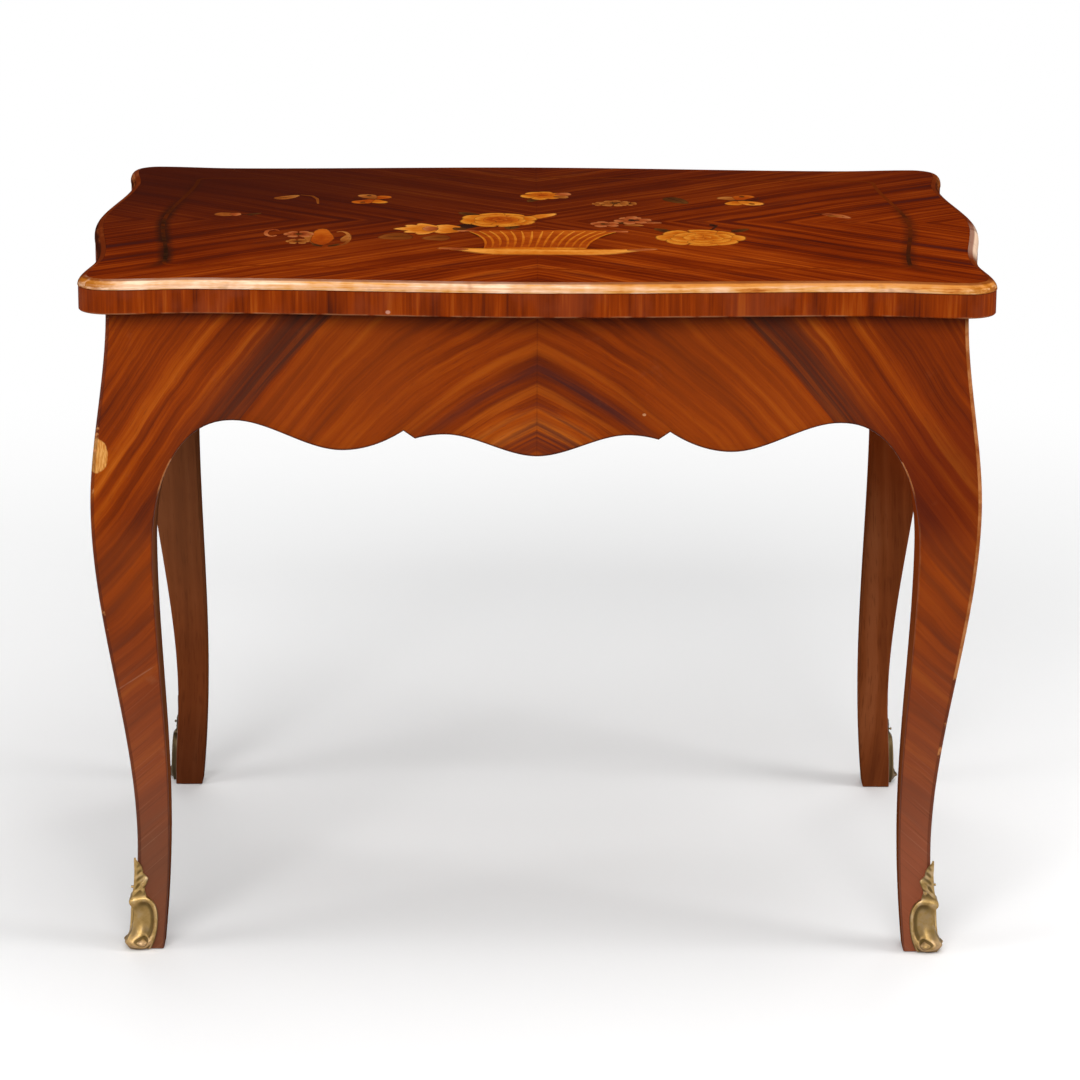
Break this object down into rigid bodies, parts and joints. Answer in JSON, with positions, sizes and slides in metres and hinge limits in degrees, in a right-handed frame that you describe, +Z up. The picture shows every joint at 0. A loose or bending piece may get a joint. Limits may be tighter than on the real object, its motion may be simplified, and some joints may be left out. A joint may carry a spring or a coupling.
{
  "type": "low side table",
  "caption": "Low side table with a serpentine marquetry top, scalloped aprons, square cabriole legs and gilt bronze foot mounts.",
  "frame": {"origin": "on the floor, under the middle of the top", "axes": "+Z up, +X to the right along the long side, the front faces -Y"},
  "size_m": [0.652, 0.46, 0.5],
  "materials": {
    "kingwood_veneer": "polished veneer",
    "field_veneer": "polished veneer",
    "edge_wood": "polished crossbanding, worn pale on the round",
    "core_wood": "raw secondary timber",
    "ebonised_line": "polished",
    "pale_inlay_wood": "polished",
    "tan_inlay_wood": "polished",
    "rose_inlay_wood": "polished",
    "gilt_bronze": "aged gilding",
    "screw_steel": "old steel"
  },
  "bodies": {
    "root": {"apron_back": "kingwood_veneer", "apron_front": "kingwood_veneer", "apron_left": "kingwood_veneer", "apron_right": "kingwood_veneer", "border_veneer_back": "field_veneer", "border_veneer_front": "field_veneer", "border_veneer_left": "field_veneer", "border_veneer_right": "field_veneer", "corner_block_back_left": "core_wood", "corner_block_back_right": "core_wood", "corner_block_front_left": "core_wood", "corner_block_front_right": "core_wood", "field_veneer_back_left": "field_veneer", "field_veneer_back_right": "field_veneer", "field_veneer_front_left": "field_veneer", "field_veneer_front_right": "field_veneer", "inlay_basket": "pale_inlay_wood", "inlay_blossom_back": "pale_inlay_wood", "inlay_blossom_left": "pale_inlay_wood", "inlay_bud_left": "pale_inlay_wood", "inlay_bud_right": "rose_inlay_wood", "inlay_butterfly_left": "tan_inlay_wood", "inlay_butterfly_right": "pale_inlay_wood", "inlay_flower_low_left": "rose_inlay_wood", "inlay_leaf_back_left": "tan_inlay_wood", "inlay_pink_flower": "rose_inlay_wood", "inlay_plinth": "pale_inlay_wood", "inlay_ring_flower": "tan_inlay_wood", "inlay_rose_centre": "pale_inlay_wood", "inlay_rose_right": "tan_inlay_wood", "leg_back_left": "kingwood_veneer", "leg_back_right": "kingwood_veneer", "leg_front_left": "kingwood_veneer", "leg_front_right": "kingwood_veneer", "sabot_back_left": "gilt_bronze", "sabot_back_right": "gilt_bronze", "sabot_front_left": "gilt_bronze", "sabot_front_right": "gilt_bronze", "sabot_pin_back_left_a": "gilt_bronze", "sabot_pin_back_left_b": "gilt_bronze", "sabot_pin_back_right_a": "gilt_bronze", "sabot_pin_back_right_b": "gilt_bronze", "sabot_pin_front_left_a": "gilt_bronze", "sabot_pin_front_left_b": "gilt_bronze", "sabot_pin_front_right_a": "gilt_bronze", "sabot_pin_front_right_b": "gilt_bronze", "stringing": "ebonised_line", "top_board": "core_wood", "top_edge_back": "edge_wood", "top_edge_front": "edge_wood", "top_edge_left": "edge_wood", "top_edge_right": "edge_wood", "top_screw_back_left": "screw_steel", "top_screw_back_right": "screw_steel", "top_screw_front_left": "screw_steel", "top_screw_front_right": "screw_steel"}
  },
  "joints": []
}
